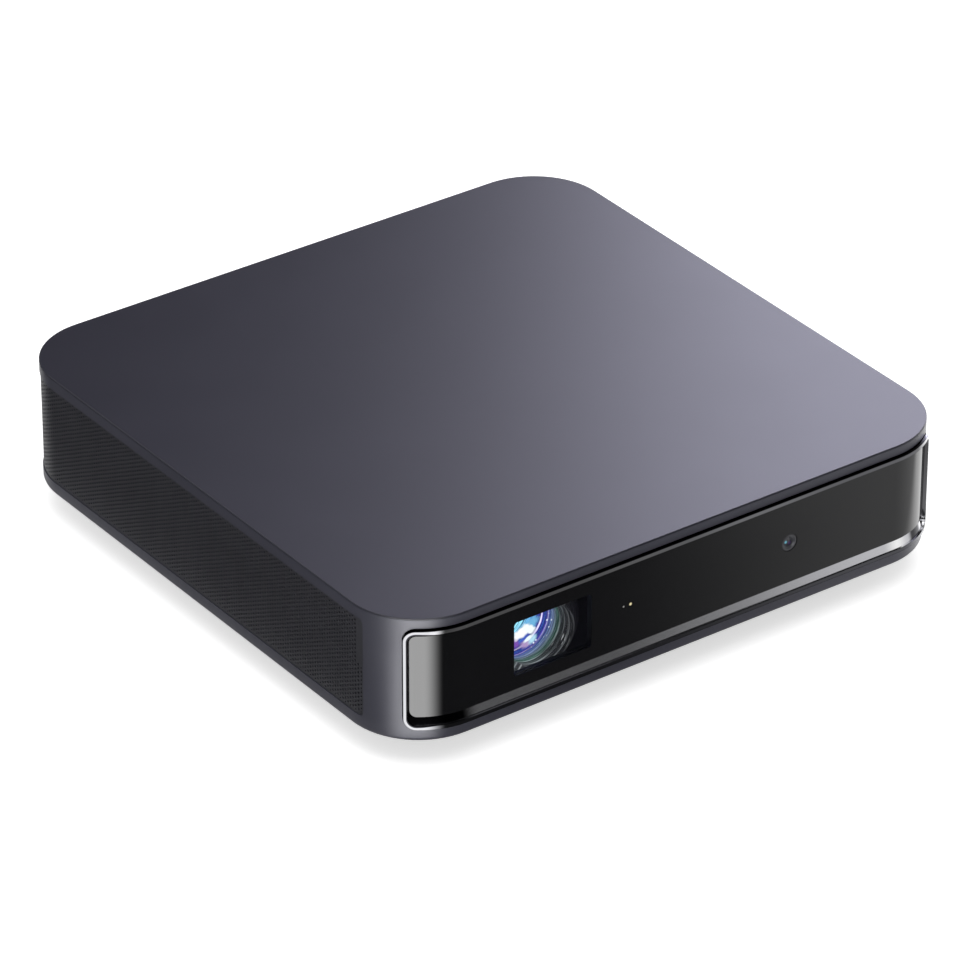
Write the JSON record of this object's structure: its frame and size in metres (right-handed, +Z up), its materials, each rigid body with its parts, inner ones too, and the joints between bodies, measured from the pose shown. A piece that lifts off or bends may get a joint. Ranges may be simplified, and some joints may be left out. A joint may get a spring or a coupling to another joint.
{
  "type": "projector",
  "caption": "Flat square table-top projector with rounded corners, perforated side grilles and a black glass front band that holds the lens window, a camera and a depth sensor.",
  "frame": {"origin": "on the table under the middle of the casing", "axes": "+Z up, -Y the way the lens looks, +X to the right of someone who faces the lens"},
  "size_m": [0.195, 0.196, 0.0475],
  "materials": {
    "body_paint": "satin",
    "top_paint": "satin",
    "base_plastic": "matt",
    "foot_rubber": "matt",
    "brass": "turned",
    "screw_steel": "zinc plated",
    "grille_metal": "satin",
    "ring_metal": "polished",
    "panel_black": "gloss",
    "window_glass": "clear",
    "lens_glass": "coated",
    "black_plastic": "matt",
    "gear_plastic": "moulded",
    "cast_metal": "cast",
    "fin_metal": "sheet",
    "copper": "drawn",
    "phosphor": "coated",
    "mirror": "mirror",
    "board": "lacquered",
    "board_chip": "moulded",
    "port_metal": "plated",
    "speaker_box": "matt",
    "magnet": "plated",
    "cone_paper": "pressed",
    "ribbon": "film"
  },
  "bodies": {
    "casing": {"side_frame": "body_paint", "top_cover": "top_paint", "base_plate": "base_plastic", "base_plinth": "base_plastic", "rubber_feet": "foot_rubber", "tripod_nut": "brass", "casing_screws": "screw_steel", "plinth_screws": "screw_steel", "grille_left": "grille_metal", "grille_right": "grille_metal", "bezel_ring": "ring_metal", "front_panel": "panel_black", "lens_window": "window_glass", "window_seal": "foot_rubber", "camera_module": "black_plastic", "camera_lens": "lens_glass", "depth_sensor": "black_plastic", "lens_barrel": "black_plastic", "gear_clip": "screw_steel", "focus_motor": "cast_metal", "engine_housing": "cast_metal", "engine_lid": "cast_metal", "prism": "lens_glass", "mirror_chip": "mirror", "chip_board": "board", "relay_lenses": "lens_glass", "wheel_motor": "cast_metal", "laser_module": "copper", "cold_plate": "copper", "heat_pipes": "copper", "heat_sink": "fin_metal", "blower_housing": "black_plastic", "blower_lid": "black_plastic", "intake_fan_frame": "black_plastic", "speaker_box_left": "speaker_box", "speaker_box_right": "speaker_box", "speaker_driver_left": "magnet", "speaker_driver_right": "magnet", "main_board": "board", "board_screws": "screw_steel", "processor_shield": "port_metal", "board_parts": "board_chip", "rear_panel": "base_plastic", "dc_jack": "black_plastic", "hdmi_port": "port_metal", "usb_port": "port_metal", "audio_jack": "black_plastic", "power_parts": "base_plastic", "ribbon_cable": "ribbon"},
    "focus_ring": {"focus_gear": "gear_plastic"},
    "motor_pinion": {"focus_pinion": "brass"},
    "lens_group": {"focus_barrel": "black_plastic", "front_glass": "lens_glass", "inner_glass": "lens_glass"},
    "colour_wheel": {"phosphor_wheel": "phosphor"},
    "blower": {"blower_rotor": "black_plastic"},
    "intake_fan": {"intake_fan_rotor": "black_plastic"},
    "cone_left": {"speaker_cone_left": "cone_paper"},
    "cone_right": {"speaker_cone_right": "cone_paper"},
    "button": {"power_button": "body_paint"}
  },
  "joints": [
    {"name": "focus_turn", "type": "hinge", "parent": "casing", "child": "focus_ring", "pos_m": [-0.0454, -0.052, 0.027], "axis": [0, 1, 0], "range_deg": [-45, 45]},
    {"name": "pinion_turn", "type": "hinge", "parent": "casing", "child": "motor_pinion", "pos_m": [-0.0244, -0.052, 0.027], "axis": [0, 1, 0], "range_deg": [-131, 131]},
    {"name": "lens_slide", "type": "slide", "parent": "casing", "child": "lens_group", "axis": [0, -1, 0], "range_m": [-0.00117, 0.00117]},
    {"name": "wheel_spin", "type": "hinge", "parent": "casing", "child": "colour_wheel", "pos_m": [-0.052, -0.0006, 0.027], "axis": [1, 0, 0], "continuous": true},
    {"name": "blower_spin", "type": "hinge", "parent": "casing", "child": "blower", "pos_m": [0.0383, -0.0485, 0.02], "axis": [0, 0, 1], "continuous": true},
    {"name": "intake_spin", "type": "hinge", "parent": "casing", "child": "intake_fan", "pos_m": [-0.088, -0.045, 0.0273], "axis": [1, 0, 0], "continuous": true},
    {"name": "cone_left_move", "type": "slide", "parent": "casing", "child": "cone_left", "axis": [-1, 0, 0], "range_m": [-0.001, 0.001], "stiffness_N_per_m": 900},
    {"name": "cone_right_move", "type": "slide", "parent": "casing", "child": "cone_right", "axis": [1, 0, 0], "range_m": [-0.001, 0.001], "stiffness_N_per_m": 900},
    {"name": "button_press", "type": "slide", "parent": "casing", "child": "button", "axis": [0, -1, 0], "range_m": [0, 0.0006], "stiffness_N_per_m": 500, "springref_m": -0.0006}
  ],
  "couplings": [
    {"joint": "focus_turn", "follows": "lens_slide", "rad_per_m": 666.67},
    {"joint": "pinion_turn", "follows": "lens_slide", "rad_per_m": -1925.9}
  ]
}
